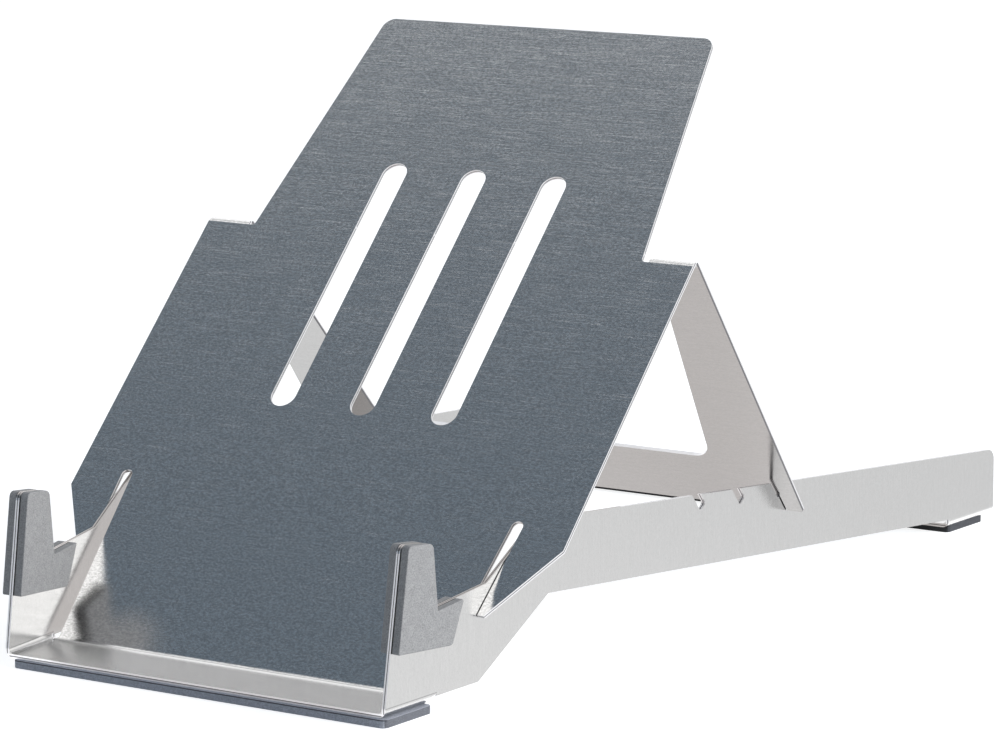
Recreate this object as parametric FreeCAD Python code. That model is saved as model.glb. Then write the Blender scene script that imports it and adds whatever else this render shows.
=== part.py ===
import FreeCAD, Part
import math
import os

# A laptop riser folded from one sheet of steel. A floor strip lies across the front.
# Behind it the platform rises, and at its crest the prop folds down again to the rear.
# Two rails stand up from the ends of the floor strip, end in hooks at the front, and run
# to a cross bar at the rear. The prop drops into notches in the rails, like the divider
# of a carton, and the notch that it stands in sets the height of the platform.
# X is to the right, Y to the rear, Z up. Sizes are in millimetres and degrees.

# Sheet and folds
SHEET = 1.5              # thickness of the steel
SIDE_RADIUS = 1.9        # inside radius of the folds along the rails
BASE_RADIUS = 4.0        # inside radius of the shallow fold below the platform
CREST_RADIUS = 1.9       # inside radius of the fold at the crest
CLEARANCE = 0.3          # free play where one part of the sheet passes another
CORNER = 1.0             # small rounding of corners that a hand meets

# Stance
FOOT_HEIGHT = 2.8        # thickness of the foam strips under the sheet
RISE = 44.6              # platform above the horizontal
DROP = 52.4              # prop below the horizontal
SPLAY = 4.23             # each rail turned outwards from straight back
FLOOR_HALF = 79.3        # middle to the outer face of a side wall, at the front
FLOOR_DEPTH = 25.2       # front of a side wall to the corner below the platform

# Platform, measured up its slope from the corner with the floor strip
PLATFORM_HALF = 104.3    # half its width
CREST = 188.2            # corner of platform and prop
EAR_LOW = 34.2           # lowest point of the ears beside the rails
EAR_FOOT = 2.4           # width of the ear's lower end
EAR_HIGH = 63.4          # where the ear has reached the full width
NARROW_LOW_GAP = 3.5     # across a narrow slot to the rail's inner face, at the corner
NARROW_LOW_ROUND = 1.4   # rounding of the slot's lower end
NARROW_TOP = 72.5        # upper end of the narrow slots
NARROW_TOP_GAP = 2.75    # to the rail's inner face, at that end
NARROW_ROUND = 2.1       # rounding of that end

# Long slots in the platform
SLOT_WIDTH = 10.4
SLOT_LOW = 107.0         # lower end, up the slope
SLOT_HIGH = 217.9        # upper end, in the tongue
SLOT_PITCH = 34.35       # sideways from one slot to the next

# Tongue that goes on upwards where the prop was cut free of it
TONGUE_HALF = 83.0       # half its width at the crest
TONGUE_TIP_HALF = 71.4   # half its width at the tip
TONGUE_TIP = 285.4       # up the slope
TONGUE_ROUND = 4.8       # rounding of its upper corners
SIDE_CUT = 2.9           # width of the cut between the tongue and the legs of the prop
TIP_CUT = 6.4            # width of the cut beyond the tip
CUT_ROUND = 1.6          # rounding of the lower ends of the cut

# Prop, measured down from the crest
PROP_LENGTH = 132.4
PROP_LOW_HALF = 104.1    # half its width at the lower edge

# Rails, measured along the rail from the front and up from the ground
RAIL_LENGTH = 389.8
RAIL_DEPTH = 26.3        # upright size of the long arm
RAIL_FALL = 4.86         # the long arm falls to the rear by this angle
RAIL_ROUND = 4.5         # rounding of the upper rear corner
BRACE_FRONT = 55.5       # the upper edge starts to climb here
BRACE_REAR = 83.3        # and reaches the long arm here
BRACE_LOW = 38.2         # height at the front of the climb
BRACE_HIGH = 54.9        # height at its rear
TOE_REAR = 50.5          # the lower edge stays near the ground up to here
TOE_GAP = 2.3            # the lower edge there, above the underside of the floor strip
HEEL = 90.5              # the lower edge has climbed to the long arm here
SIDE_FOLD = 27.6         # length of the fold beside the floor strip
BAR_DEPTH = 33.4         # front to rear size of the rear cross bar

# Hooks at the front of the rails
HOOK_LEAN = 9.4          # the front edge leans back
HOOK_TOP = 59.8          # height of the front upper corner
HOOK_TOP_REAR = 58.2     # height of the rear upper corner
HOOK_HEAD = 13.6         # front to rear size at the top
HOOK_THROAT = 24.7       # corner where a laptop's front edge lies
HOOK_THROAT_Z = 35.0
HOOK_ROUND = 3.0

# Notches in the rails and the slits in the prop that straddle the rails
NOTCHES = 3
NOTCH_PITCH = 25.5       # from one notch to the next
NOTCH_WIDTH = 4.0
NOTCH_GAP = 1.0          # free space in the notch in front of the prop
NOTCH_DEPTH = 6.0        # from the rail's upper edge, down the rear face of the prop
NOTCH_ROUND = 0.9

# Foam pads on both faces of each hook
PAD_THICK = 3.2
PAD_SETBACK = 0.4        # behind the front edge of the steel
PAD_LOW_FRONT = 24.1     # height of the lower front corner
PAD_LOW_REAR = 21.8      # height of the lower rear corner
PAD_LOW_LENGTH = 32.5    # reach of the lower edge
PAD_ARM_LENGTH = 38.9    # reach of the arm below the laptop
PAD_EASE = 0.4           # easing of the edges of the free face

# Foam strips on the ground
FRONT_STRIP_START = -1.3
FRONT_STRIP_DEPTH = 25.8
FRONT_STRIP_INSET = 1.4  # from the outer face of the side walls
FRONT_STRIP_SHIFT = 2.3  # laid by hand, it sits this far to the right of the middle
REAR_STRIP_DEPTH = 26.7
REAR_STRIP_INSET = 2.4
STRIP_ROUND = 3.0

# Derived sizes
DECK = FOOT_HEIGHT + SHEET
SIDE_OUTER = SIDE_RADIUS + SHEET
CREST_OUTER = CREST_RADIUS + SHEET
SIN_S = math.sin(math.radians(SPLAY))
COS_S = math.cos(math.radians(SPLAY))
TAN_S = math.tan(math.radians(SPLAY))
CREST_TURN = RISE + DROP
BASE_TANGENT = BASE_RADIUS * math.tan(math.radians(RISE / 2))
CREST_TANGENT = CREST_OUTER * math.tan(math.radians(CREST_TURN / 2))
CREST_Y = FLOOR_DEPTH + CREST * math.cos(math.radians(RISE))
CREST_Z = DECK + CREST * math.sin(math.radians(RISE))
FOLD_TOP = FOOT_HEIGHT + SIDE_OUTER
BAR_START = RAIL_LENGTH - BAR_DEPTH
REAR_EDGE = RAIL_LENGTH * COS_S + SIDE_OUTER * SIN_S
MIDDLE_Y = (FRONT_STRIP_START + REAR_EDGE) / 2


def vec(x, y, z):
    return FreeCAD.Vector(x, y, z)


def slope_frame(y, z, tilt):
    """Frame whose x is across the riser and whose y climbs the slope."""
    return FreeCAD.Placement(vec(0, y, z), FreeCAD.Rotation(vec(1, 0, 0), tilt))


def wall_x(y):
    """Outer face of the right rail at the distance y behind the front."""
    return FLOOR_HALF + TAN_S * y


def outline(corners):
    """Closed wire in the xy plane. A corner is (x, y) or (x, y, radius)."""
    count = len(corners)
    edges = []
    ends = []
    for i, corner in enumerate(corners):
        here = vec(corner[0], corner[1], 0)
        radius = corner[2] if len(corner) > 2 else 0
        if radius == 0:
            ends.append((here, here))
            continue
        before = vec(corners[i - 1][0], corners[i - 1][1], 0)
        after = vec(corners[(i + 1) % count][0], corners[(i + 1) % count][1], 0)
        back = (before - here).normalize()
        ahead = (after - here).normalize()
        half = back.getAngle(ahead) / 2
        start = here + back * (radius / math.tan(half))
        end = here + ahead * (radius / math.tan(half))
        centre = here + (back + ahead).normalize() * (radius / math.sin(half))
        middle = centre + (here - centre).normalize() * radius
        edges.append(Part.Arc(start, middle, end).toShape())
        ends.append((start, end))
    for i in range(count):
        start = ends[i][1]
        end = ends[(i + 1) % count][0]
        if start.distanceToPoint(end) > 0.001:
            edges.append(Part.makeLine(start, end))
    return Part.Wire(Part.__sortEdges__(edges))


def panel(corners, frame, thickness=SHEET):
    """Flat piece of sheet. Its upper face lies in the frame's xy plane."""
    solid = Part.Face(outline(corners)).extrude(vec(0, 0, -thickness))
    solid.Placement = frame
    return solid


def mirrored(corners):
    """Add the left half to a list of right-hand corners, in the same order of travel."""
    left = []
    for corner in reversed(corners):
        left.append((-corner[0],) + tuple(corner[1:]))
    return list(corners) + left


def fold(radius, turn, start, end, frame):
    """Bent piece of sheet that starts at the frame's x axis, from x = start to end.

    A positive turn bends upwards, so the upper face is inside the fold."""
    centre = radius if turn > 0 else -SHEET - radius
    corners = [
        vec(start, 0, -SHEET),
        vec(end, 0, -SHEET),
        vec(end, 0, 0),
        vec(start, 0, 0),
        vec(start, 0, -SHEET),
    ]
    section = Part.Face(Part.makePolygon(corners))
    bent = section.revolve(vec(0, 0, centre), vec(1, 0, 0), turn)
    bent.Placement = frame
    return bent


def left_of(shape):
    """Mirror image on the other side of the middle plane."""
    return shape.mirror(vec(0, 0, 0), vec(1, 0, 0))


def rail_frame():
    """Frame on the outer face of the right rail: x runs back along it and y is up."""
    upright = FreeCAD.Rotation(vec(1, 0, 0), 90)
    turned = FreeCAD.Rotation(vec(0, 0, 1), 90 - SPLAY)
    return FreeCAD.Placement(vec(FLOOR_HALF, 0, 0), turned * upright)


def tangent_point(along):
    """Plan position of the inner limit of the side fold, at a distance along the rail."""
    x = FLOOR_HALF + along * SIN_S - SIDE_OUTER * COS_S
    y = along * COS_S + SIDE_OUTER * SIN_S
    return (x, y)


def side_fold(start, end):
    """Quarter bend between a strip on the floor and the rail, from start to end along it."""
    x, y = tangent_point(0)
    turned = FreeCAD.Rotation(vec(0, 0, 1), 270 - SPLAY)
    frame = FreeCAD.Placement(vec(x, y, DECK), turned)
    return fold(SIDE_RADIUS, 90, -end, -start, frame)


def rail_top(along):
    """Height of the long arm's upper edge."""
    return BRACE_HIGH - (along - BRACE_REAR) * math.tan(math.radians(RAIL_FALL))


def hook_corners(setback):
    """Upper end of the hook from the throat forwards, as on the steel and on the pads."""
    front_top = (HOOK_TOP - FOLD_TOP) * math.tan(math.radians(HOOK_LEAN))
    return [
        (HOOK_THROAT, HOOK_THROAT_Z, CORNER),
        (front_top + HOOK_HEAD, HOOK_TOP_REAR, HOOK_ROUND),
        (front_top + setback, HOOK_TOP, HOOK_ROUND),
    ]


def tongue_half(s):
    """Half width of the tongue, s up the slope."""
    taper = (TONGUE_HALF - TONGUE_TIP_HALF) / (TONGUE_TIP - CREST)
    return TONGUE_HALF - (s - CREST) * taper


# The floor strip reaches out to the folds under the side walls.
level = slope_frame(0, DECK, 0)
floor_right = [
    tangent_point(0),
    tangent_point((FLOOR_DEPTH - BASE_TANGENT - SIDE_OUTER * SIN_S) / COS_S),
]
floor = panel(mirrored(floor_right), level)
cos_rise = math.cos(math.radians(RISE))


def narrow_edge(s):
    """Side edge of the platform beside the rail's inner face, s up the slope."""
    gap = NARROW_LOW_GAP + (NARROW_TOP_GAP - NARROW_LOW_GAP) * s / NARROW_TOP
    return wall_x(FLOOR_DEPTH + s * cos_rise) - SHEET / COS_S - gap


# The fold below the platform runs into the folds at the sides. The narrow slots start
# round in these corners, so that the folds don't tear each other.
base_half = narrow_edge(BASE_TANGENT)
base_reach = tangent_point(FLOOR_DEPTH)[0]
base_frame = slope_frame(FLOOR_DEPTH - BASE_TANGENT, DECK, 0)
base = fold(BASE_RADIUS, RISE, -base_reach, base_reach, base_frame)
slot_start = [
    (base_half, FLOOR_DEPTH, NARROW_LOW_ROUND),
    (base_half + 2 * NARROW_LOW_ROUND, FLOOR_DEPTH, NARROW_LOW_ROUND),
    (base_half + 2 * NARROW_LOW_ROUND, FLOOR_DEPTH + BASE_RADIUS),
    (base_half, FLOOR_DEPTH + BASE_RADIUS),
]
slot_cut = panel(slot_start, slope_frame(0, FOLD_TOP, 0), FOLD_TOP)
base = base.cut(slot_cut).cut(left_of(slot_cut))
front_fold = side_fold(0, SIDE_FOLD).cut(slot_cut)

# The platform is one flat outline with the ears, the narrow slots and the tongue. The
# ear's inner edge passes the outer face of the rail with a small clearance.
slope = slope_frame(FLOOR_DEPTH, DECK, RISE)
ear_gap = CLEARANCE / COS_S
ear_top = wall_x(FLOOR_DEPTH + NARROW_TOP * cos_rise) + ear_gap
ear_low = wall_x(FLOOR_DEPTH + EAR_LOW * cos_rise) + ear_gap
crest_start = CREST - CREST_TANGENT
fold_inner = tongue_half(crest_start) + SIDE_CUT
platform_right = [
    (base_half, BASE_TANGENT),
    (narrow_edge(NARROW_TOP), NARROW_TOP, NARROW_ROUND),
    (ear_top, NARROW_TOP, NARROW_ROUND),
    (ear_low, EAR_LOW),
    (ear_low + EAR_FOOT, EAR_LOW),
    (PLATFORM_HALF, EAR_HIGH),
    (PLATFORM_HALF, crest_start),
    (fold_inner, crest_start),
    (tongue_half(crest_start), crest_start, CUT_ROUND),
    (TONGUE_TIP_HALF, TONGUE_TIP, TONGUE_ROUND),
]
platform = panel(mirrored(platform_right), slope)

# Three long slots with round ends let warm air through behind the laptop.
for place in (-1, 0, 1):
    x = place * SLOT_PITCH
    half = SLOT_WIDTH / 2
    slot_corners = [
        (x - half, SLOT_LOW, half),
        (x + half, SLOT_LOW, half),
        (x + half, SLOT_HIGH, half),
        (x - half, SLOT_HIGH, half),
    ]
    opening = panel(slot_corners, slope, SHEET * 3)
    opening.translate(slope.Rotation.multVec(vec(0, 0, SHEET)))
    platform = platform.cut(opening)

# The crest folds join the shoulders of the platform to the legs of the prop.
crest_frame = slope_frame(FLOOR_DEPTH, DECK, RISE).multiply(
    FreeCAD.Placement(vec(0, crest_start, 0), FreeCAD.Rotation())
)
crest_right = fold(CREST_RADIUS, -CREST_TURN, fold_inner, PLATFORM_HALF, crest_frame)

# In the flat sheet the tongue fills the middle of the prop. The length of sheet that the
# crest fold takes up gives where the tongue's tip lies in the prop.
prop_frame = slope_frame(CREST_Y, CREST_Z, -DROP)
fold_length = math.radians(CREST_TURN) * (CREST_RADIUS + 0.45 * SHEET)
flat_shift = crest_start + fold_length - CREST_TANGENT
window_low = TONGUE_TIP - flat_shift + TIP_CUT
window_half = tongue_half(TONGUE_TIP + TIP_CUT) + SIDE_CUT
prop_right = [
    (window_half, window_low, TONGUE_ROUND + SIDE_CUT),
    (fold_inner, CREST_TANGENT),
    (PLATFORM_HALF, CREST_TANGENT),
    (PROP_LOW_HALF, PROP_LENGTH, CORNER),
]
prop = panel(mirrored(prop_right), prop_frame)

# The rail stands on its fold, with the hook at the front and the long arm to the rear.
toe = FOOT_HEIGHT + TOE_GAP
rail_corners = [
    (0, FOLD_TOP),
    (SIDE_FOLD, FOLD_TOP),
    (SIDE_FOLD, toe),
    (TOE_REAR, toe),
    (HEEL, rail_top(HEEL) - RAIL_DEPTH),
    (BAR_START, FOLD_TOP),
    (RAIL_LENGTH, FOLD_TOP),
    (RAIL_LENGTH, rail_top(RAIL_LENGTH), RAIL_ROUND),
    (BRACE_REAR, BRACE_HIGH),
    (BRACE_FRONT, BRACE_LOW),
] + hook_corners(0)
rail = panel(rail_corners, rail_frame())

# The prop stands in the rearmost notch. There the rail's upper edge is met at prop_at,
# measured down the prop. The other notches repeat it along the rail.
fall = math.tan(math.radians(RAIL_FALL)) / COS_S
edge_at_zero = BRACE_HIGH + BRACE_REAR * math.tan(math.radians(RAIL_FALL))
cos_drop = math.cos(math.radians(DROP))
sin_drop = math.sin(math.radians(DROP))
prop_at = (CREST_Z - edge_at_zero + fall * CREST_Y) / (sin_drop - fall * cos_drop)
notch_end = prop_at + NOTCH_DEPTH
notch_front = -SHEET - NOTCH_GAP
notch_rear = notch_front + NOTCH_WIDTH
side_turn = FreeCAD.Rotation(vec(0, 0, 1), 90) * FreeCAD.Rotation(vec(1, 0, 0), 90)
notch_corners = [
    (prop_at - NOTCH_DEPTH, notch_rear),
    (prop_at - NOTCH_DEPTH, notch_front),
    (notch_end, notch_front, NOTCH_ROUND),
    (notch_end, notch_rear, NOTCH_ROUND),
]
rail_reach = wall_x(REAR_EDGE)
notch = Part.Face(outline(notch_corners)).extrude(vec(0, 0, -rail_reach))
notch.Placement = FreeCAD.Placement(vec(0, 0, 0), side_turn)
notch.translate(vec(rail_reach, 0, 0))
notch.rotate(vec(0, 0, 0), vec(1, 0, 0), -DROP)
notch.translate(vec(0, CREST_Y, CREST_Z))
for step in range(NOTCHES):
    back = step * NOTCH_PITCH * math.cos(math.radians(RAIL_FALL))
    cutter = notch.copy()
    cutter.translate(vec(0, -back, back * fall))
    rail = rail.cut(cutter)

# The slits in the prop's lower edge straddle the rails below the notches.
slit_outer = []
slit_inner = []
for q in (notch_end - CLEARANCE, PROP_LENGTH + CORNER):
    face = wall_x(CREST_Y + q * cos_drop)
    slit_outer.append((face + ear_gap, q))
    slit_inner.append((face - SHEET / COS_S - SHEET * sin_drop * TAN_S - ear_gap, q))
slit = panel(slit_outer + slit_inner[::-1], prop_frame, SHEET * 3)
slit.translate(prop_frame.Rotation.multVec(vec(0, 0, SHEET)))
prop = prop.cut(slit).cut(left_of(slit))

# The rear cross bar closes the ring between the rails.
bar_corners = mirrored([tangent_point(BAR_START), tangent_point(RAIL_LENGTH)])
bar = panel(bar_corners, level)

right_side = [rail, front_fold, side_fold(BAR_START, RAIL_LENGTH), crest_right]
left_side = [left_of(piece) for piece in right_side]
frame = floor.fuse([base, platform, prop, bar] + right_side + left_side).removeSplitter()

# Foam pads cover both faces of each hook with the same outline.
throat_slope = (BRACE_LOW - HOOK_THROAT_Z) / (BRACE_FRONT - HOOK_THROAT)
arm_z = HOOK_THROAT_Z + (PAD_ARM_LENGTH - HOOK_THROAT) * throat_slope
pad_front = (PAD_LOW_FRONT - FOLD_TOP) * math.tan(math.radians(HOOK_LEAN)) + PAD_SETBACK
pad_corners = [
    (pad_front, PAD_LOW_FRONT, CORNER),
    (PAD_LOW_LENGTH, PAD_LOW_REAR, CORNER * 2),
    (PAD_ARM_LENGTH, arm_z, CORNER),
] + hook_corners(PAD_SETBACK)


def soft_pad(steel_face, thickness):
    """Pad on a face of the right hook. The edges of its free face are eased."""
    pad = Part.Face(outline(pad_corners)).extrude(vec(0, 0, thickness))
    rim = [edge for edge in pad.Edges if abs(edge.CenterOfMass.z - thickness) < 0.001]
    pad = pad.makeChamfer(PAD_EASE, rim)
    on_steel = FreeCAD.Placement(vec(0, 0, steel_face), FreeCAD.Rotation())
    pad.Placement = rail_frame().multiply(on_steel)
    return pad


outer_pad = soft_pad(0, PAD_THICK)
inner_pad = soft_pad(-SHEET, -PAD_THICK)


def strip(start, depth, inset):
    """Foam strip on the ground under a flat part of the sheet, with ends along the rails."""
    corners = []
    for y in (start, start + depth):
        corners.append((wall_x(y) - inset, y, STRIP_ROUND))
    return panel(mirrored(corners), slope_frame(0, FOOT_HEIGHT, 0), FOOT_HEIGHT)


bar_front = tangent_point(BAR_START)[1]
rear_start = (bar_front + REAR_EDGE - REAR_STRIP_DEPTH) / 2

front_strip = strip(FRONT_STRIP_START, FRONT_STRIP_DEPTH, FRONT_STRIP_INSET)
front_strip.translate(vec(FRONT_STRIP_SHIFT, 0, 0))

pieces = {
    "folded_frame": frame,
    "hook_pad_right_outer": outer_pad,
    "hook_pad_right_inner": inner_pad,
    "hook_pad_left_outer": left_of(outer_pad),
    "hook_pad_left_inner": left_of(inner_pad),
    "front_foot_strip": front_strip,
    "rear_foot_strip": strip(rear_start, REAR_STRIP_DEPTH, REAR_STRIP_INSET),
}

# The origin is on the ground, in the middle of the riser.
os.makedirs("parts", exist_ok=True)
for name, shape in pieces.items():
    shape.translate(vec(0, -MIDDLE_Y, 0))
    shape.exportStep(os.path.join("parts", name + ".step"))
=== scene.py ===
# %% [markdown]
# # A laptop riser folded from one steel sheet
# The riser is one piece of brushed steel. A floor strip lies at the front, the platform
# rises behind it, and a prop folds down from the crest into notches in the two side
# rails. Soft foam pads sit on the hooks, and foam strips keep the steel off the desk.
#
# The steel arrives as a finished model, so this lesson is about its finish: how brushed
# metal, raw cut edges and grainy foam are made from nodes, and how a studio is lit so
# that bare metal looks like metal.

import math

import bmesh
import bpy
from mathutils import Matrix, Vector


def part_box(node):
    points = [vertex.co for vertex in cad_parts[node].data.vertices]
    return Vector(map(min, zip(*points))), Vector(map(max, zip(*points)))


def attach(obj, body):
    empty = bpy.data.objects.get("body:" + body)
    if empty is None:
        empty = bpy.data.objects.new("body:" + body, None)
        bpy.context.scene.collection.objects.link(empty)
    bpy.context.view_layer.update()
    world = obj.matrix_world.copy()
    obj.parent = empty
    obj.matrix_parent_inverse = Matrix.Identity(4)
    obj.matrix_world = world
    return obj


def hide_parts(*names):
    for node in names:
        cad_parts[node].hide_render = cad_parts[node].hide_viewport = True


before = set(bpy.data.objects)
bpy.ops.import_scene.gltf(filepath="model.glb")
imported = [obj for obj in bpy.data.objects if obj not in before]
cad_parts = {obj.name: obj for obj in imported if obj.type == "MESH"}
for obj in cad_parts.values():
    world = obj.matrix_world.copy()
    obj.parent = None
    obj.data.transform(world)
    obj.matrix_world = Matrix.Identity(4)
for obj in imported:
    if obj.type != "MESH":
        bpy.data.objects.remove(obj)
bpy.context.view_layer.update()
print("nodes:", sorted(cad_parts))

# %% [markdown]
# ## The camera
# The photograph was taken from the front right with a long lens, a little above the
# platform. A long lens keeps parallel edges nearly parallel. The camera's place and turn
# come from matching the corners of the sheet, so they are given as an azimuth, a height
# angle and a very small roll.

# %% Camera at the photograph's viewing angle
AZIMUTH = math.radians(32.548)
ELEVATION = math.radians(10.538)
ROLL = math.radians(0.228)
EYE = Vector((0.86670, -1.35697, 0.37874))
FOCAL_IN_WIDTHS = 4.42429   # focal length in widths of the picture

ahead = Vector((
    -math.sin(AZIMUTH) * math.cos(ELEVATION),
    math.cos(AZIMUTH) * math.cos(ELEVATION),
    -math.sin(ELEVATION),
))
level = Vector((math.cos(AZIMUTH), math.sin(AZIMUTH), 0))
down = ahead.cross(level)
right = level * math.cos(ROLL) + down * math.sin(ROLL)
up = level * math.sin(ROLL) - down * math.cos(ROLL)

lens = bpy.data.cameras.new("long_lens")
lens.sensor_width = 36
lens.lens = lens.sensor_width * FOCAL_IN_WIDTHS
camera = bpy.data.objects.new("camera", lens)
turn = Matrix((right, up, -ahead)).transposed()
camera.matrix_world = Matrix.Translation(EYE) @ turn.to_4x4()
bpy.context.scene.collection.objects.link(camera)
bpy.context.scene.camera = camera
print("lens %.1f mm" % lens.lens)

# %% [markdown]
# ## Writing materials as sums
# A material is a graph of nodes, and most of its nodes are plain arithmetic. Instead of
# placing each Math node by hand, a small class wraps a socket and turns Python's own
# signs into nodes. `1 - mask` then really adds a Subtract node. Every other node comes
# from one method, which sets the node's options first and its inputs after.


# %% A socket that can be added, multiplied and compared
class Wire:
    """The output of a node, or with no socket a bare node tree to start from."""

    def __init__(self, tree, socket=None):
        self.tree = tree
        self.socket = socket

    def node(self, kind, settings=None, inputs=None, out=0):
        made = self.tree.nodes.new("ShaderNode" + kind)
        for name, value in (settings or {}).items():
            if name == "stops":
                set_stops(made.color_ramp, value)
            else:
                setattr(made, name, value)
        for name, value in (inputs or {}).items():
            if isinstance(value, Wire):
                self.tree.links.new(value.socket, made.inputs[name])
            else:
                made.inputs[name].default_value = value
        return Wire(self.tree, made.outputs[out])

    def output(self, name):
        return Wire(self.tree, self.socket.node.outputs[name])

    def maths(self, operation, *values):
        return self.node("Math", {"operation": operation}, dict(enumerate(values)))

    def __add__(self, other):
        return self.maths("ADD", self, other)

    __radd__ = __add__

    def __sub__(self, other):
        return self.maths("SUBTRACT", self, other)

    def __rsub__(self, other):
        return self.maths("SUBTRACT", other, self)

    def __mul__(self, other):
        return self.maths("MULTIPLY", self, other)

    def __abs__(self):
        return self.maths("ABSOLUTE", self)

    def __lt__(self, other):
        return self.maths("LESS_THAN", self, other)

    def __gt__(self, other):
        return self.maths("GREATER_THAN", self, other)

    def __and__(self, other):
        return self.maths("MINIMUM", self, other)

    def __or__(self, other):
        return self.maths("MAXIMUM", self, other)

    def ramp(self, low, high, start=0.0, end=1.0):
        """Smooth step of this value: start below low, end above high."""
        return self.node(
            "MapRange",
            {"interpolation_type": "SMOOTHSTEP"},
            {0: self, 1: low, 2: high, 3: start, 4: end},
        )


# %% Nodes with many parts
def set_stops(ramp, stops):
    """Stops of a colour ramp, each as (position, grey or colour)."""
    while len(ramp.elements) < len(stops):
        ramp.elements.new(1.0)
    for element, (position, colour) in zip(ramp.elements, stops):
        element.position = position
        element.color = (*colour, 1.0)


def mix_colour(factor, first, second):
    """First colour where the factor is 0, second where it is 1."""
    start = factor if isinstance(factor, Wire) else first
    colours = {
        6: first if isinstance(first, Wire) else (*first, 1.0),
        7: second if isinstance(second, Wire) else (*second, 1.0),
    }
    return start.node("Mix", {"data_type": "RGBA"}, {0: factor, **colours}, out=2)


def combine(x, y, z):
    parts = {0: x, 1: y, 2: z}
    start = next(part for part in parts.values() if isinstance(part, Wire))
    return start.node("CombineXYZ", None, parts)


def new_material(name):
    """Empty material, with a Wire to start its graph from."""
    material = bpy.data.materials.new(name)
    material.use_nodes = True
    material.node_tree.nodes.clear()
    return material, Wire(material.node_tree)


def finish_material(material, surface):
    end = material.node_tree.nodes.new("ShaderNodeOutputMaterial")
    material.node_tree.links.new(surface.socket, end.inputs["Surface"])
    return material


# %% [markdown]
# ## Where am I on the sheet?
# The sheet was brushed while it was flat, so the brush lines run across the platform but
# stand upright on the rails, which were folded up afterwards. The raw cut faces around
# each outline weren't brushed at all. To tell these places apart, the material works out
# how far a point lies from the middle of each flat panel's sheet. A point within half a
# thickness whose normal lies along the sheet is on a cut face. Each mask is 1 in its own
# place and 0 elsewhere, so `&` takes the lower of two masks and `|` the higher.

# %% Flat panels of the sheet, in millimetres
SHEET = 1.5
FLOOR_TOP = 4.3
BASE = (-168.64, 4.3)       # corner of floor and platform, as (y, z)
RISE = math.radians(44.6)
CREST = (-34.64, 136.44)    # corner of platform and prop
DROP = math.radians(52.4)
RAIL_FRONT = -193.84
RAIL_HALF = 79.3
SPLAY = math.radians(4.23)
FOLD_TOP = 6.2              # where the fold beside the floor strip ends, and how far back
FOLD_END = -166.2


# %% A place on the sheet
class SheetMap:
    """Position and normal on the folded sheet, as wires of one material."""

    def __init__(self, start):
        place = start.node("TexCoord").output("Object")
        facing = place.output("Normal")
        split = place.node("SeparateXYZ", None, {0: place})
        self.x = split.output("X") * 1000
        self.y = split.output("Y") * 1000
        self.z = split.output("Z") * 1000
        turned = facing.node("SeparateXYZ", None, {0: facing})
        self.nx = turned.output("X")
        self.ny = turned.output("Y")
        self.nz = turned.output("Z")

    def sloped(self, corner, tilt):
        """Height above a panel's middle, and how squarely a face looks out of it."""
        across, upright = -math.sin(tilt), math.cos(tilt)
        height = (self.y - corner[0]) * across + (self.z - corner[1]) * upright + SHEET / 2
        square = abs(self.ny * across + self.nz * upright)
        return height, square

    def rail(self):
        """The same for the two rails at once."""
        front = (self.y - RAIL_FRONT) * math.tan(SPLAY) + RAIL_HALF
        height = (abs(self.x) - front) * math.cos(SPLAY) + SHEET / 2
        return height, abs(self.nx)


# %% Masks of the sheet's faces
NEAR = SHEET / 2 + 0.08     # a point this close to a panel's middle belongs to the panel
SQUARE = 0.7                # how squarely a flat face looks out of its panel
EDGEWISE = 0.5              # and how little a cut face does
MORE_SQUARE = 0.28          # asked for besides where other panels cross the rails
TORN_HALF = 0.2             # half the width of the torn band on a cut face
HOOKS_END = -60             # hooks and narrow slots lie before this, in y


def any_of(masks):
    """Highest of several masks."""
    highest = masks[0]
    for mask in masks[1:]:
        highest = highest | mask
    return highest


def sheet_masks(sheet):
    """Masks of the rails, the platform, the cuts, the painted highlights on the cuts' rims,
    and the cuts that get painted shade.
    """
    panels = [
        sheet.rail(),
        sheet.sloped(BASE, RISE),
        sheet.sloped(CREST, -DROP),
        sheet.sloped((0, FLOOR_TOP), 0),
    ]
    inside = [abs(height) < NEAR for height, square in panels]
    in_low_rail = inside[0] & (sheet.z < 100)
    enough = in_low_rail * MORE_SQUARE + SQUARE
    faces = [near & (square > enough) for near, (height, square) in zip(inside, panels)]
    brushed = any_of(faces)
    edges = [
        near & (square < EDGEWISE) & (1 - brushed)
        for near, (height, square) in zip(inside, panels)
    ]
    # The rims of each cut face, away from its middle, get the painted highlight.
    highlit_rims = [abs(height) > TORN_HALF for height, square in panels]
    # The prop's cuts get the painted rim highlight on their outer side, where they look up,
    # and at the rails.
    highlit_rims[2] = (panels[2][0] > 0.15) | (sheet.nz > 0.3) | in_low_rail
    rim_highlights = any_of([edge & bright for edge, bright in zip(edges, highlit_rims)])
    # Cut faces by the hooks and narrow slots, and the rear bar's front cut, get painted
    # shade.
    by_hooks = edges[0] & (sheet.y < HOOKS_END) & (sheet.ny > -0.9)
    rear_bar = edges[3] & (sheet.y > 100) & (sheet.ny < -0.5)
    return faces[0], faces[1], any_of(edges), rim_highlights, by_hooks | rear_bar
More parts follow.
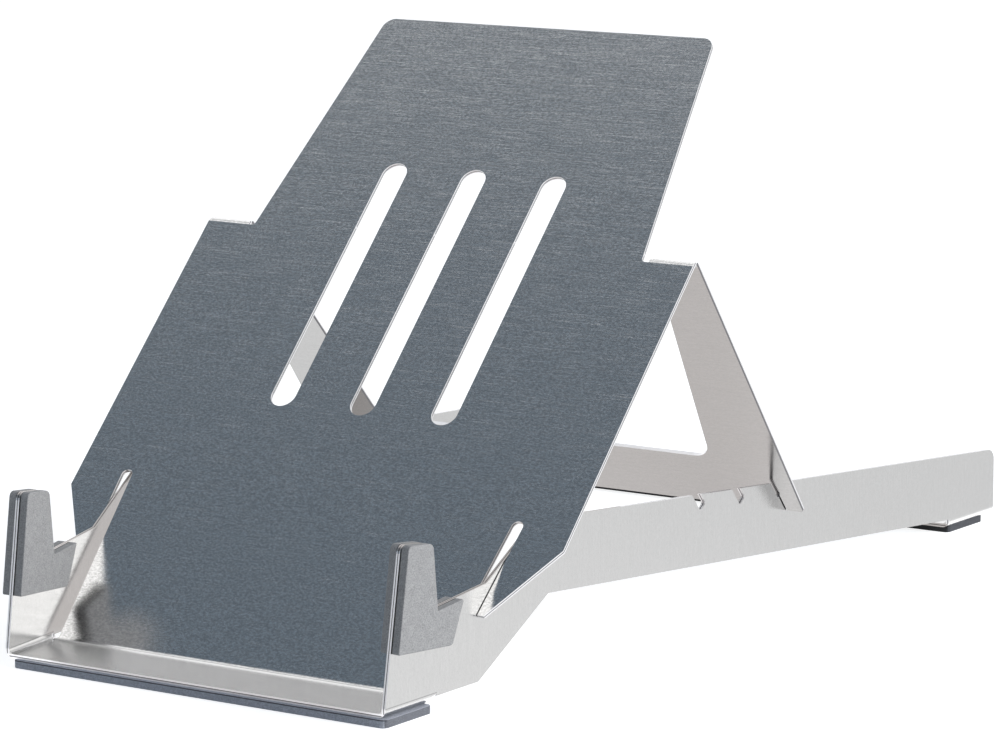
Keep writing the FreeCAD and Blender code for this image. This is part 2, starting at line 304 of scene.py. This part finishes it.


# %% [markdown]
# ## Brushed stainless steel
# Brushing leaves fine grooves that all run one way. They blur reflections across the
# grooves and leave them sharp along them. One way to show this is an anisotropic shader,
# but its direction would have to change from panel to panel. Here the grooves are really
# there: a noise stretched a hundredfold along the grain feeds a Bump node, and the many
# small tilts blur the reflection just as the real grooves do. Thin streaks, which run
# the same way, vary the roughness and the tone. Shorter flecks roughen the platform and
# lighten and darken its tone in specks, a painted sparkle.
#
# A cut face shows how the sheet was sheared. Between its edges it was torn and is dark.
# Along both of its edges the colour is a painted highlight, for the rounded rims catching
# the light. Where a cut face lies in shade by the hooks and at the rear bar, both bands
# are painted darker, as painted shade.

# %% Values of the steel
STEEL = (0.66, 0.66, 0.66)
# Cut faces: painted highlights on the rims, a dark torn middle, and painted shade where
# they lie in shade.
PAINTED_RIM_HIGHLIGHT = (0.80, 0.80, 0.82)
TORN_BAND = (0.17, 0.17, 0.18)
RIM_HIGHLIGHT_IN_SHADE = (0.42, 0.40, 0.39)
SHADED_TORN = (0.12, 0.11, 0.11)
DARK_STREAK, LIGHT_STREAK = 0.77, 0.83
# Strength of the painted sparkle on the platform and the rails.
PLATFORM_FLECKS = 0.12
RAIL_FLECKS = 0.02
SMOOTHEST = 0.15            # roughness of the brushed faces, and what a streak adds
STREAK_ROUGHNESS = 0.05
CUT_ROUGHNESS = 0.35
GROOVE_DEPTH = 0.00003      # metres


# %% The grain
def grain(sheet, rail_face, coarse, fine, seed):
    """Noise stretched along the brushing. coarse and fine are cycles per millimetre."""
    spread = fine - coarse
    return sheet.x.node(
        "TexNoise",
        {"noise_dimensions": "3D"},
        {
            "Vector": combine(
                sheet.x * (rail_face * spread + coarse),
                sheet.y * fine + seed,
                sheet.z * (fine - rail_face * spread),
            ),
            "Scale": 1.0,
            "Detail": 2.0,
            "Roughness": 0.6,
        },
    )


# %% The steel's graph
def brushed_steel():
    material, start = new_material("brushed_steel")
    sheet = SheetMap(start)
    rail_face, platform_face, cut, rim_highlights, shaded = sheet_masks(sheet)
    grooves = grain(sheet, rail_face, coarse=0.04, fine=4.8, seed=0.0)
    crackle = grain(sheet, rail_face, coarse=0.9, fine=1.6, seed=17.0)
    streaks = grain(sheet, rail_face, coarse=0.12, fine=6.0, seed=31.0)

    # Specks of lighter and darker tone, a painted sparkle, mostly on the platform.
    strength = platform_face * PLATFORM_FLECKS + RAIL_FLECKS
    painted_sparkle = crackle.ramp(0.3, 0.7, -1, 1) * strength
    # A thin darker line along the top of the rail's fold beside the floor strip: painted
    # shade.
    painted_fold_shade = rail_face & (abs(sheet.z - FOLD_TOP) < 0.2) & (sheet.y < FOLD_END)
    tone = streaks.ramp(0.25, 0.75, DARK_STREAK, LIGHT_STREAK) + painted_sparkle
    steel = mix_colour(tone * (1 - painted_fold_shade * 0.3), (0, 0, 0), STEEL)
    # A cut face: dark torn middle, painted highlights along its rims, and painted shade by
    # the hooks and the rear bar.
    open_cut = mix_colour(rim_highlights, TORN_BAND, PAINTED_RIM_HIGHLIGHT)
    shaded_cut = mix_colour(rim_highlights, SHADED_TORN, RIM_HIGHLIGHT_IN_SHADE)
    colour = mix_colour(cut, steel, mix_colour(shaded, open_cut, shaded_cut))

    roughness = SMOOTHEST + streaks * STREAK_ROUGHNESS
    roughness = roughness * (1 - cut) + cut * CUT_ROUGHNESS
    relief = grooves * 0.8 + crackle * 0.1
    bump = sheet.x.node(
        "Bump", None, {"Strength": 1.0, "Distance": GROOVE_DEPTH, "Height": relief}
    )
    surface = sheet.x.node(
        "BsdfPrincipled",
        None,
        {"Base Color": colour, "Metallic": 1.0, "Roughness": roughness, "Normal": bump},
    )
    return finish_material(material, surface)


steel = brushed_steel()
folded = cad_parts["folded_frame"]
folded.data.materials.clear()
folded.data.materials.append(steel)
print("steel nodes:", len(steel.node_tree.nodes))

# %% [markdown]
# ## Foam rubber
# The pads and foot strips are punched from sheets of dense foam with a grainy skin. Two
# noises make the grain: a coarse one for soft blotches and a fine one, which also feeds
# the bump, for the pores. Foam is rough all over, with only a faint dull sheen. Where it
# meets the steel, a thin dark line is painted shade, for the crevice at the rounded rim.

# %% The foam's grain
PAD_GREY = (0.318, 0.319, 0.323)
FOOT_GREY = (0.420, 0.442, 0.500)
BRIGHTEST = 1.5             # the palest foam, against the plain grey
PORES = 2600.0              # noise scales, in cycles per metre
BLOTCHES = 420.0
PORE_DEPTH = 0.00012        # metres


def foam(name, colour, shadow):
    """Grainy foam. shadow turns a place on the riser into a factor for dark places."""
    material, start = new_material(name)
    place = start.node("TexCoord").output("Object")
    pores = place.node("TexNoise", None, {"Vector": place, "Scale": PORES, "Detail": 3.0})
    blotches = place.node(
        "TexNoise", None, {"Vector": place, "Scale": BLOTCHES, "Detail": 2.0}
    )
    shade = pores.ramp(0.25, 0.75, 0.74, 1.26) * blotches.ramp(0.2, 0.8, 0.94, 1.06)
    shade = shade * shadow(SheetMap(start)) * (1 / BRIGHTEST)
    palest = tuple(part * BRIGHTEST for part in colour)
    bump = place.node(
        "Bump", None, {"Strength": 0.6, "Distance": PORE_DEPTH, "Height": pores}
    )
    surface = place.node(
        "BsdfPrincipled",
        None,
        {
            "Base Color": mix_colour(shade, (0, 0, 0), palest),
            "Roughness": 0.72,
            "Specular IOR Level": 0.25,
            "Normal": bump,
        },
    )
    return finish_material(material, surface)


# %% Painted shade, and both foams
def pad_shadow(sheet):
    """A pad gets painted shade in the thin gap along the steel."""
    return abs(sheet.rail()[0]).ramp(SHEET / 2 + 0.2, SHEET / 2 + 0.45, 0.3, 1)


def foot_shadow(sheet):
    """A strip gets painted shade in the crevice by the steel, at its ends, and at the back.
    """
    crevice_shade = sheet.z.ramp(2.35, 2.5) & (abs(sheet.ny) > 0.3)
    # Painted shade: the ends, the rear strip, and most of all the rear strip's front face.
    end = abs(sheet.nx) > 0.7
    rear = sheet.y.ramp(0, 100)
    rear_front = rear & (sheet.ny < -0.7)
    shade = (1 - crevice_shade * 0.85) * (1 - end * 0.62)
    return shade * (1 - rear * 0.6) * (1 - rear_front * 0.9)


pad_foam = foam("pad_foam", PAD_GREY, pad_shadow)
foot_foam = foam("foot_foam", FOOT_GREY, foot_shadow)
print("foam nodes:", len(pad_foam.node_tree.nodes), len(foot_foam.node_tree.nodes))

# %% [markdown]
# ## Pads on the hooks
# Each hook is covered on both faces by a pad with the hook's own outline. A pad is
# punched from foam, so its outline is sharp, but its free face bulges softly at the rim.
# It starts here as one flat face on the steel. Bevelling only the vertices rounds the
# outline, an extrude gives the thickness, and a last bevel of the rim makes the soft
# edge.

# %% Values of the pads and strips, in millimetres
PAD_THICK = 3.2
PAD_RIM = 0.5
PAD_BACK_RIM = 0.25
PAD_OUTLINE = [
    (3.36, 24.1, 1.0),
    (32.5, 21.8, 2.0),
    (38.9, 36.45, 1.0),
    (24.7, 35.0, 0.8),
    (22.47, 58.2, 3.0),
    (9.27, 59.8, 3.0),
]
FOOT_THICK = 2.8


# %% An outline pulled up into a soft block
def rail_turn():
    """From a rail's own outline (back along it, up) to its place on the riser."""
    back = Vector((math.sin(SPLAY), math.cos(SPLAY), 0))
    out = Vector((math.cos(SPLAY), -math.sin(SPLAY), 0))
    axes = Matrix((back, Vector((0, 0, 1)), out)).transposed().to_4x4()
    place = Matrix.Translation((RAIL_HALF, RAIL_FRONT, 0))
    return Matrix.Scale(0.001, 4) @ place @ axes


def round_corners(mesh, corners):
    """Round the outline's corners, each by its own radius."""
    tips = list(mesh.verts)
    for tip, (_, _, radius) in zip(tips, corners):
        sides = [(edge.other_vert(tip).co - tip.co).normalized() for edge in tip.link_edges]
        half = sides[0].angle(sides[1]) / 2
        arc_start = radius / math.tan(half)     # from the corner, along either side
        bmesh.ops.bevel(
            mesh,
            geom=[tip],
            affect="VERTICES",
            offset_type="OFFSET",
            offset=arc_start * math.sin(half),
            segments=6,
            profile=0.5,
            material=-1,
        )


def round_rim(mesh, height, radius):
    """Round the sharp edges that lie at one height."""
    rims = [
        edge
        for edge in mesh.edges
        if all(abs(tip.co.z - height) < 1e-4 for tip in edge.verts)
    ]
    bmesh.ops.bevel(
        mesh,
        geom=rims,
        affect="EDGES",
        offset_type="OFFSET",
        offset=radius,
        segments=4,
        profile=0.5,
        material=-1,
        clamp_overlap=True,
    )


def soft_block(corners, thickness, lower_rim, upper_rim):
    """Flat outline pulled up to a block with both rims rounded."""
    mesh = bmesh.new()
    tips = [mesh.verts.new((x, y, 0)) for x, y, _ in corners]
    mesh.faces.new(tips)
    round_corners(mesh, corners)
    raised = bmesh.ops.extrude_face_region(mesh, geom=list(mesh.faces))["geom"]
    lifted = [item for item in raised if isinstance(item, bmesh.types.BMVert)]
    bmesh.ops.translate(mesh, verts=lifted, vec=(0, 0, thickness))
    round_rim(mesh, thickness, upper_rim)
    round_rim(mesh, 0, lower_rim)
    bmesh.ops.recalc_face_normals(mesh, faces=mesh.faces)
    return mesh


# %% A piece that stands for a node
def place_piece(name, mesh, matrix, material, node):
    """Turn a finished bmesh into the piece that stands for a node."""
    bmesh.ops.transform(mesh, matrix=matrix, verts=mesh.verts)
    bmesh.ops.recalc_face_normals(mesh, faces=mesh.faces)
    data = bpy.data.meshes.new(name)
    mesh.to_mesh(data)
    mesh.free()
    data.materials.append(material)
    data.shade_smooth()
    piece = bpy.data.objects.new(name, data)
    bpy.context.scene.collection.objects.link(piece)
    weighted = piece.modifiers.new("flat_faces_stay_flat", "WEIGHTED_NORMAL")
    weighted.keep_sharp = True
    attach(piece, "root")
    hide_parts(node)
    return piece


# %% The four pads
outside = rail_turn()
inside = outside @ Matrix.Translation((0, 0, -SHEET)) @ Matrix.Scale(-1, 4, (0, 0, 1))
mirror = Matrix.Scale(-1, 4, (1, 0, 0))
for side, flip in (("right", Matrix.Identity(4)), ("left", mirror)):
    for face, turn in (("outer", outside), ("inner", inside)):
        block = soft_block(PAD_OUTLINE, PAD_THICK, PAD_BACK_RIM, PAD_RIM)
        which = "pad_%s_%s" % (side, face)
        piece = place_piece(
            "foam_" + which, block, flip @ turn, pad_foam, "hook_" + which
        )
        low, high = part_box("hook_" + which)
        spans = [round(span * 1000, 1) for span in high - low]
        print(piece.name, len(piece.data.polygons), "faces, for a pad of", spans, "mm")

# %% [markdown]
# ## Strips under the riser
# Two strips of the same kind of foam lie on the desk, one under the floor strip and one
# under the bar at the back. Their ends run parallel to the rails. They are made as the
# pads are, from a flat outline with rounded corners.

# %% The foot strips
STRIP_CORNER = 3.0          # radius in the outline
STRIP_LOWER_RIM = 0.1
STRIP_UPPER_RIM = 0.3


def strip_outline(node):
    """Corners of a strip from the box of its node; the ends follow the splayed rails."""
    low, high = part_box(node)
    slant = (high.y - low.y) * 1000 * math.tan(SPLAY)
    x0, x1, y0, y1 = low.x * 1000, high.x * 1000, low.y * 1000, high.y * 1000
    return [
        (x1 - slant, y0, STRIP_CORNER),
        (x1, y1, STRIP_CORNER),
        (x0, y1, STRIP_CORNER),
        (x0 + slant, y0, STRIP_CORNER),
    ]


for node in ("front_foot_strip", "rear_foot_strip"):
    block = soft_block(strip_outline(node), FOOT_THICK, STRIP_LOWER_RIM, STRIP_UPPER_RIM)
    metres = Matrix.Scale(0.001, 4)
    piece = place_piece("foam_" + node, block, metres, foot_foam, node)
    print(piece.name, len(piece.data.polygons), "faces")

# %% [markdown]
# ## The studio
# Bare metal has no colour of its own to show: it shows the room. The photograph's room
# is white on the right, behind and overhead. It is dark low in front and at the upper
# left, where the platform mirrors it. The world's colour is made to match, from the
# direction in which a ray leaves. Mirror rays see this room in full. Soft light, which
# falls on the foam and the floor, comes from a simpler one that is dim in front and
# above.

# %% Directions
room = bpy.data.worlds.new("studio")
room.use_nodes = True
room.node_tree.nodes.clear()
start = Wire(room.node_tree)
heading = start.node("TexCoord").output("Generated")
parts = heading.node("SeparateXYZ", None, {0: heading})
east, north, top = parts.output("X"), parts.output("Y"), parts.output("Z")
left = east.ramp(-0.10, 0.30, 1, 0)
above_floor = top.ramp(-0.05, 0.1)
low_down = top.ramp(0.3, 0.6, 1, 0)

# %% The backdrop that the platform mirrors, from south to north
DARK_BLUE = (0.188, 0.237, 0.290)
BRIGHT = (1.9, 1.9, 1.9)
GREY = (0.75, 0.75, 0.76)
PALE = (1.65, 1.65, 1.65)
BACKDROP = [
    (-0.15, DARK_BLUE),
    (-0.04, (0.245, 0.27, 0.30)),
    (0.03, BRIGHT),
    (0.14, BRIGHT),
    (0.20, GREY),
    (0.32, GREY),
    (0.40, PALE),
]
SOUTH, SPAN = -0.25, 0.7    # where the colour ramp starts, and how far it reaches
stops = [((reach - SOUTH) / SPAN, tint) for reach, tint in BACKDROP]
backdrop = north.node("ValToRGB", {"stops": stops}, {0: (north - SOUTH) * (1 / SPAN)})

# %% The room for mirror rays
WHITE_WALL = (1.2, 1.2, 1.2)
SKYLIGHT = (3.2, 3.17, 3.12)
low_front = north.ramp(-0.17, 0.15, 1, 0) & low_down & above_floor
overhead = east.ramp(0.0, 0.35) & top.ramp(0.3, 0.7) & north.ramp(0.2, 0.5, 1, 0)
behind = north.ramp(0.25, 0.55) & top.ramp(0.15, 0.35) & east.ramp(0.0, 0.3, 1, 0)
walls = mix_colour(behind, WHITE_WALL, PALE)
walls = mix_colour(overhead, walls, SKYLIGHT)
walls = mix_colour(low_front, walls, DARK_BLUE)
walls = mix_colour(left & top.ramp(0.35, 0.55), walls, backdrop)

# %% The room for soft light, and the whole world
DIM_CEILING = (0.30, 0.32, 0.36)
DIM_FRONT = (0.25, 0.29, 0.34)
in_front = north.ramp(-0.35, -0.05, 1, 0) & (left | low_down) & above_floor
soft = mix_colour(top.ramp(0.3, 0.7), WHITE_WALL, DIM_CEILING)
soft = mix_colour(in_front, soft, DIM_FRONT)
rays = start.node("LightPath")
colour = mix_colour(rays.output("Is Glossy Ray"), soft, walls)
colour = mix_colour(rays.output("Is Camera Ray"), colour, (1.0, 1.0, 1.0))
background = start.node("Background", None, {"Color": colour, "Strength": 1.0})
end = room.node_tree.nodes.new("ShaderNodeOutputWorld")
room.node_tree.links.new(background.socket, end.inputs["Surface"])
bpy.context.scene.world = room
print("room nodes:", len(room.node_tree.nodes))

# %% [markdown]
# ## The floor
# The floor is pale and matt. For the camera a little light of its own lifts it to white,
# and the soft shadow stays. The rails and the prop mirror the floor, so mirror rays see
# it shaded too, and with painted shadow and painted light in its glow: warmer and darker
# beneath the riser, and bright close to the folds and the prop's foot.

# %% A wide disc
disc = bmesh.new()
bmesh.ops.create_circle(disc, cap_ends=True, segments=96, radius=9.0)
data = bpy.data.meshes.new("pale_floor")
disc.to_mesh(data)
disc.free()
floor = bpy.data.objects.new("pale_floor", data)
bpy.context.scene.collection.objects.link(floor)

# %% Tones of the floor
PAINT = (0.595, 0.612, 0.62)
PAINT_IN_MIRRORS = (0.39, 0.39, 0.39)
GLOW = (0.74, 0.74, 0.74)
# Glows that only mirrors see: a fall from front to back, painted shadow beneath the riser,
# and painted light by the folds and the prop's foot.
GLOW_IN_FRONT = (0.99, 0.985, 0.975)    # the next five are glows that mirrors see
GLOW_BEHIND = (0.79, 0.785, 0.775)
SHADOW_PAINTED_BENEATH = (0.71, 0.665, 0.645)
LIGHT_PAINTED_BY_FOLDS = (1.6, 1.6, 1.6)
LIGHT_PAINTED_BY_FOOT = (1.75, 1.71, 1.68)

# %% Where the mirrors see painted light and painted shadow on it
material, start = new_material("pale_floor")
place = start.node("TexCoord").output("Object")
parts = place.node("SeparateXYZ", None, {0: place})
x, y = parts.output("X"), parts.output("Y")
rail_line = (y * 1000 - RAIL_FRONT) * (math.tan(SPLAY) / 1000)
from_rail = abs(x) - rail_line - RAIL_HALF / 1000
beneath = from_rail.ramp(-0.02, 0.0, 1, 0) & y.ramp(0.09, 0.12, 1, 0)
along_folds = y.ramp(-0.15, -0.14, 1, 0) | y.ramp(0.150, 0.158)
under_fold = from_rail.ramp(-0.012, -0.009) & from_rail.ramp(0.003, 0.006, 1, 0)
by_foot = from_rail.ramp(0.006, 0.010) & from_rail.ramp(0.020, 0.026, 1, 0)
by_foot = by_foot & y.ramp(0.005, 0.015) & y.ramp(0.06, 0.075, 1, 0)
mirrored = mix_colour(y.ramp(-0.2, 0.3), GLOW_IN_FRONT, GLOW_BEHIND)
mirrored = mix_colour(beneath, mirrored, SHADOW_PAINTED_BENEATH)
mirrored = mix_colour(under_fold & along_folds, mirrored, LIGHT_PAINTED_BY_FOLDS)
mirrored = mix_colour(by_foot, mirrored, LIGHT_PAINTED_BY_FOOT)

# %% The floor's paint
rays = start.node("LightPath")
glossy, seen = rays.output("Is Glossy Ray"), rays.output("Is Camera Ray")
tint = mix_colour(glossy, PAINT, PAINT_IN_MIRRORS)
paint = start.node("BsdfDiffuse", None, {"Color": tint})
glow = mix_colour(seen, mirrored, GLOW)
glow = start.node("Emission", None, {"Color": glow, "Strength": 1.0})
lifted = start.node("AddShader", None, {0: paint, 1: glow})
direct = seen | glossy | rays.output("Is Transmission Ray")
surface = start.node("MixShader", None, {0: direct, 1: paint, 2: lifted})
data.materials.append(finish_material(material, surface))
print("floor nodes:", len(material.node_tree.nodes))

# %% [markdown]
# ## The lamp
# One large lamp on the right gives the floor its soft shadow and the foam its light
# side. Mirror rays don't see it, or it would stand in the steel as a bright square.

# %% A soft lamp on the right
LAMP_PLACE = (2.4, 0.5, 0.95)
LAMP_AIM = (0, 0, 0.08)
LAMP_WIDTH = 1.6
LAMP_WATTS = 60

bulb = bpy.data.lights.new("softbox", "AREA")
bulb.shape = "SQUARE"
bulb.size = LAMP_WIDTH
bulb.energy = LAMP_WATTS
lamp = bpy.data.objects.new("softbox", bulb)
lamp.location = LAMP_PLACE
lamp.rotation_mode = "QUATERNION"
lamp.rotation_quaternion = (Vector(LAMP_AIM) - lamp.location).to_track_quat("-Z", "Y")
lamp.visible_glossy = False
bpy.context.scene.collection.objects.link(lamp)
bpy.context.scene.view_settings.view_transform = "Standard"
